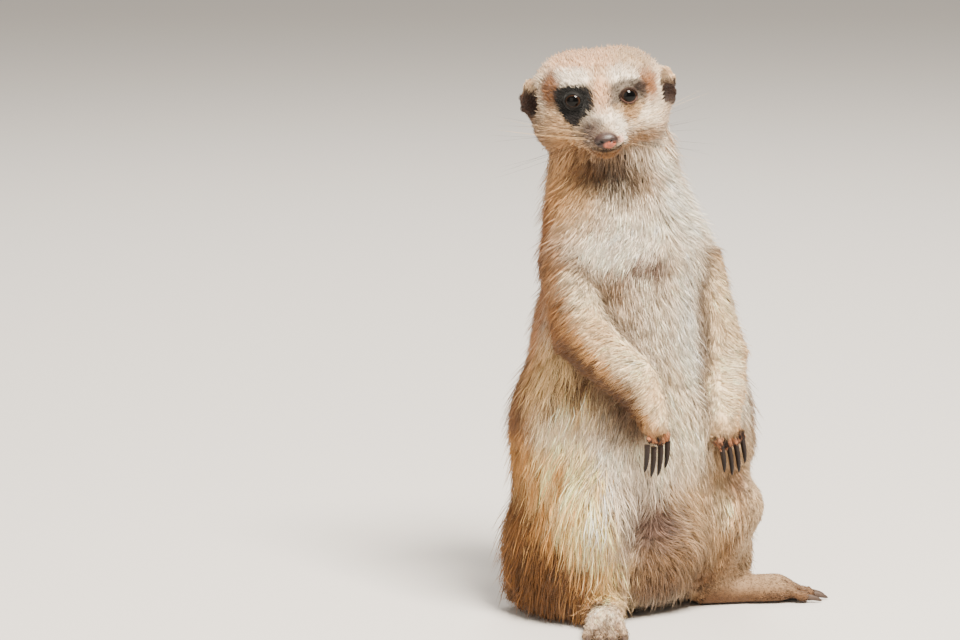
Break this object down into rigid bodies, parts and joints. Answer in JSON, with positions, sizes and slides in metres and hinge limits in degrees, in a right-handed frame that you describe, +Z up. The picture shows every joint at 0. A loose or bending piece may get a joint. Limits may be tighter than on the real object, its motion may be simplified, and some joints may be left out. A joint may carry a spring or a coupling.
{
  "type": "seated meerkat figure",
  "caption": "Life-size still figure of a furry, long-bodied mongoose sitting upright on its haunches, forepaws hanging before its belly and tail laid behind",
  "frame": {"origin": "on the floor, on the flat under the pelvis (mount seat)", "axes": "+Z up; the pelvis faces -Y and the animal's left side is +X; the head is turned about 27 degrees to its right"},
  "size_m": [0.17, 0.2272, 0.2673],
  "materials": {
    "coat_fur": "matte",
    "pale_fur": "matte",
    "brown_fur": "matte",
    "ear_fur": "matte",
    "tail_tip_fur": "matte",
    "nose": "satin",
    "eye": "gloss",
    "claw": "satin"
  },
  "bodies": {
    "root": {"abdomen": "pale_fur", "ear_left": "ear_fur", "ear_right": "ear_fur", "eye_left": "eye", "eye_right": "eye", "foot_left": "pale_fur", "foot_right": "pale_fur", "forearm_left": "coat_fur", "forearm_right": "coat_fur", "foreclaw_left_1": "claw", "foreclaw_left_2": "claw", "foreclaw_left_3": "claw", "foreclaw_left_4": "claw", "foreclaw_right_1": "claw", "foreclaw_right_2": "claw", "foreclaw_right_3": "claw", "foreclaw_right_4": "claw", "hand_left": "coat_fur", "hand_right": "coat_fur", "head": "coat_fur", "hindclaw_left_1": "claw", "hindclaw_left_2": "claw", "hindclaw_left_3": "claw", "hindclaw_left_4": "claw", "hindclaw_right_1": "claw", "hindclaw_right_2": "claw", "hindclaw_right_3": "claw", "hindclaw_right_4": "claw", "jaw": "pale_fur", "neck": "coat_fur", "nose": "nose", "rump": "brown_fur", "shin_left": "coat_fur", "shin_right": "coat_fur", "tail_end": "brown_fur", "tail_middle": "brown_fur", "tail_root": "brown_fur", "tail_tip": "tail_tip_fur", "thigh_left": "brown_fur", "thigh_right": "brown_fur", "thorax": "coat_fur", "upper_arm_left": "coat_fur", "upper_arm_right": "coat_fur"}
  },
  "joints": []
}
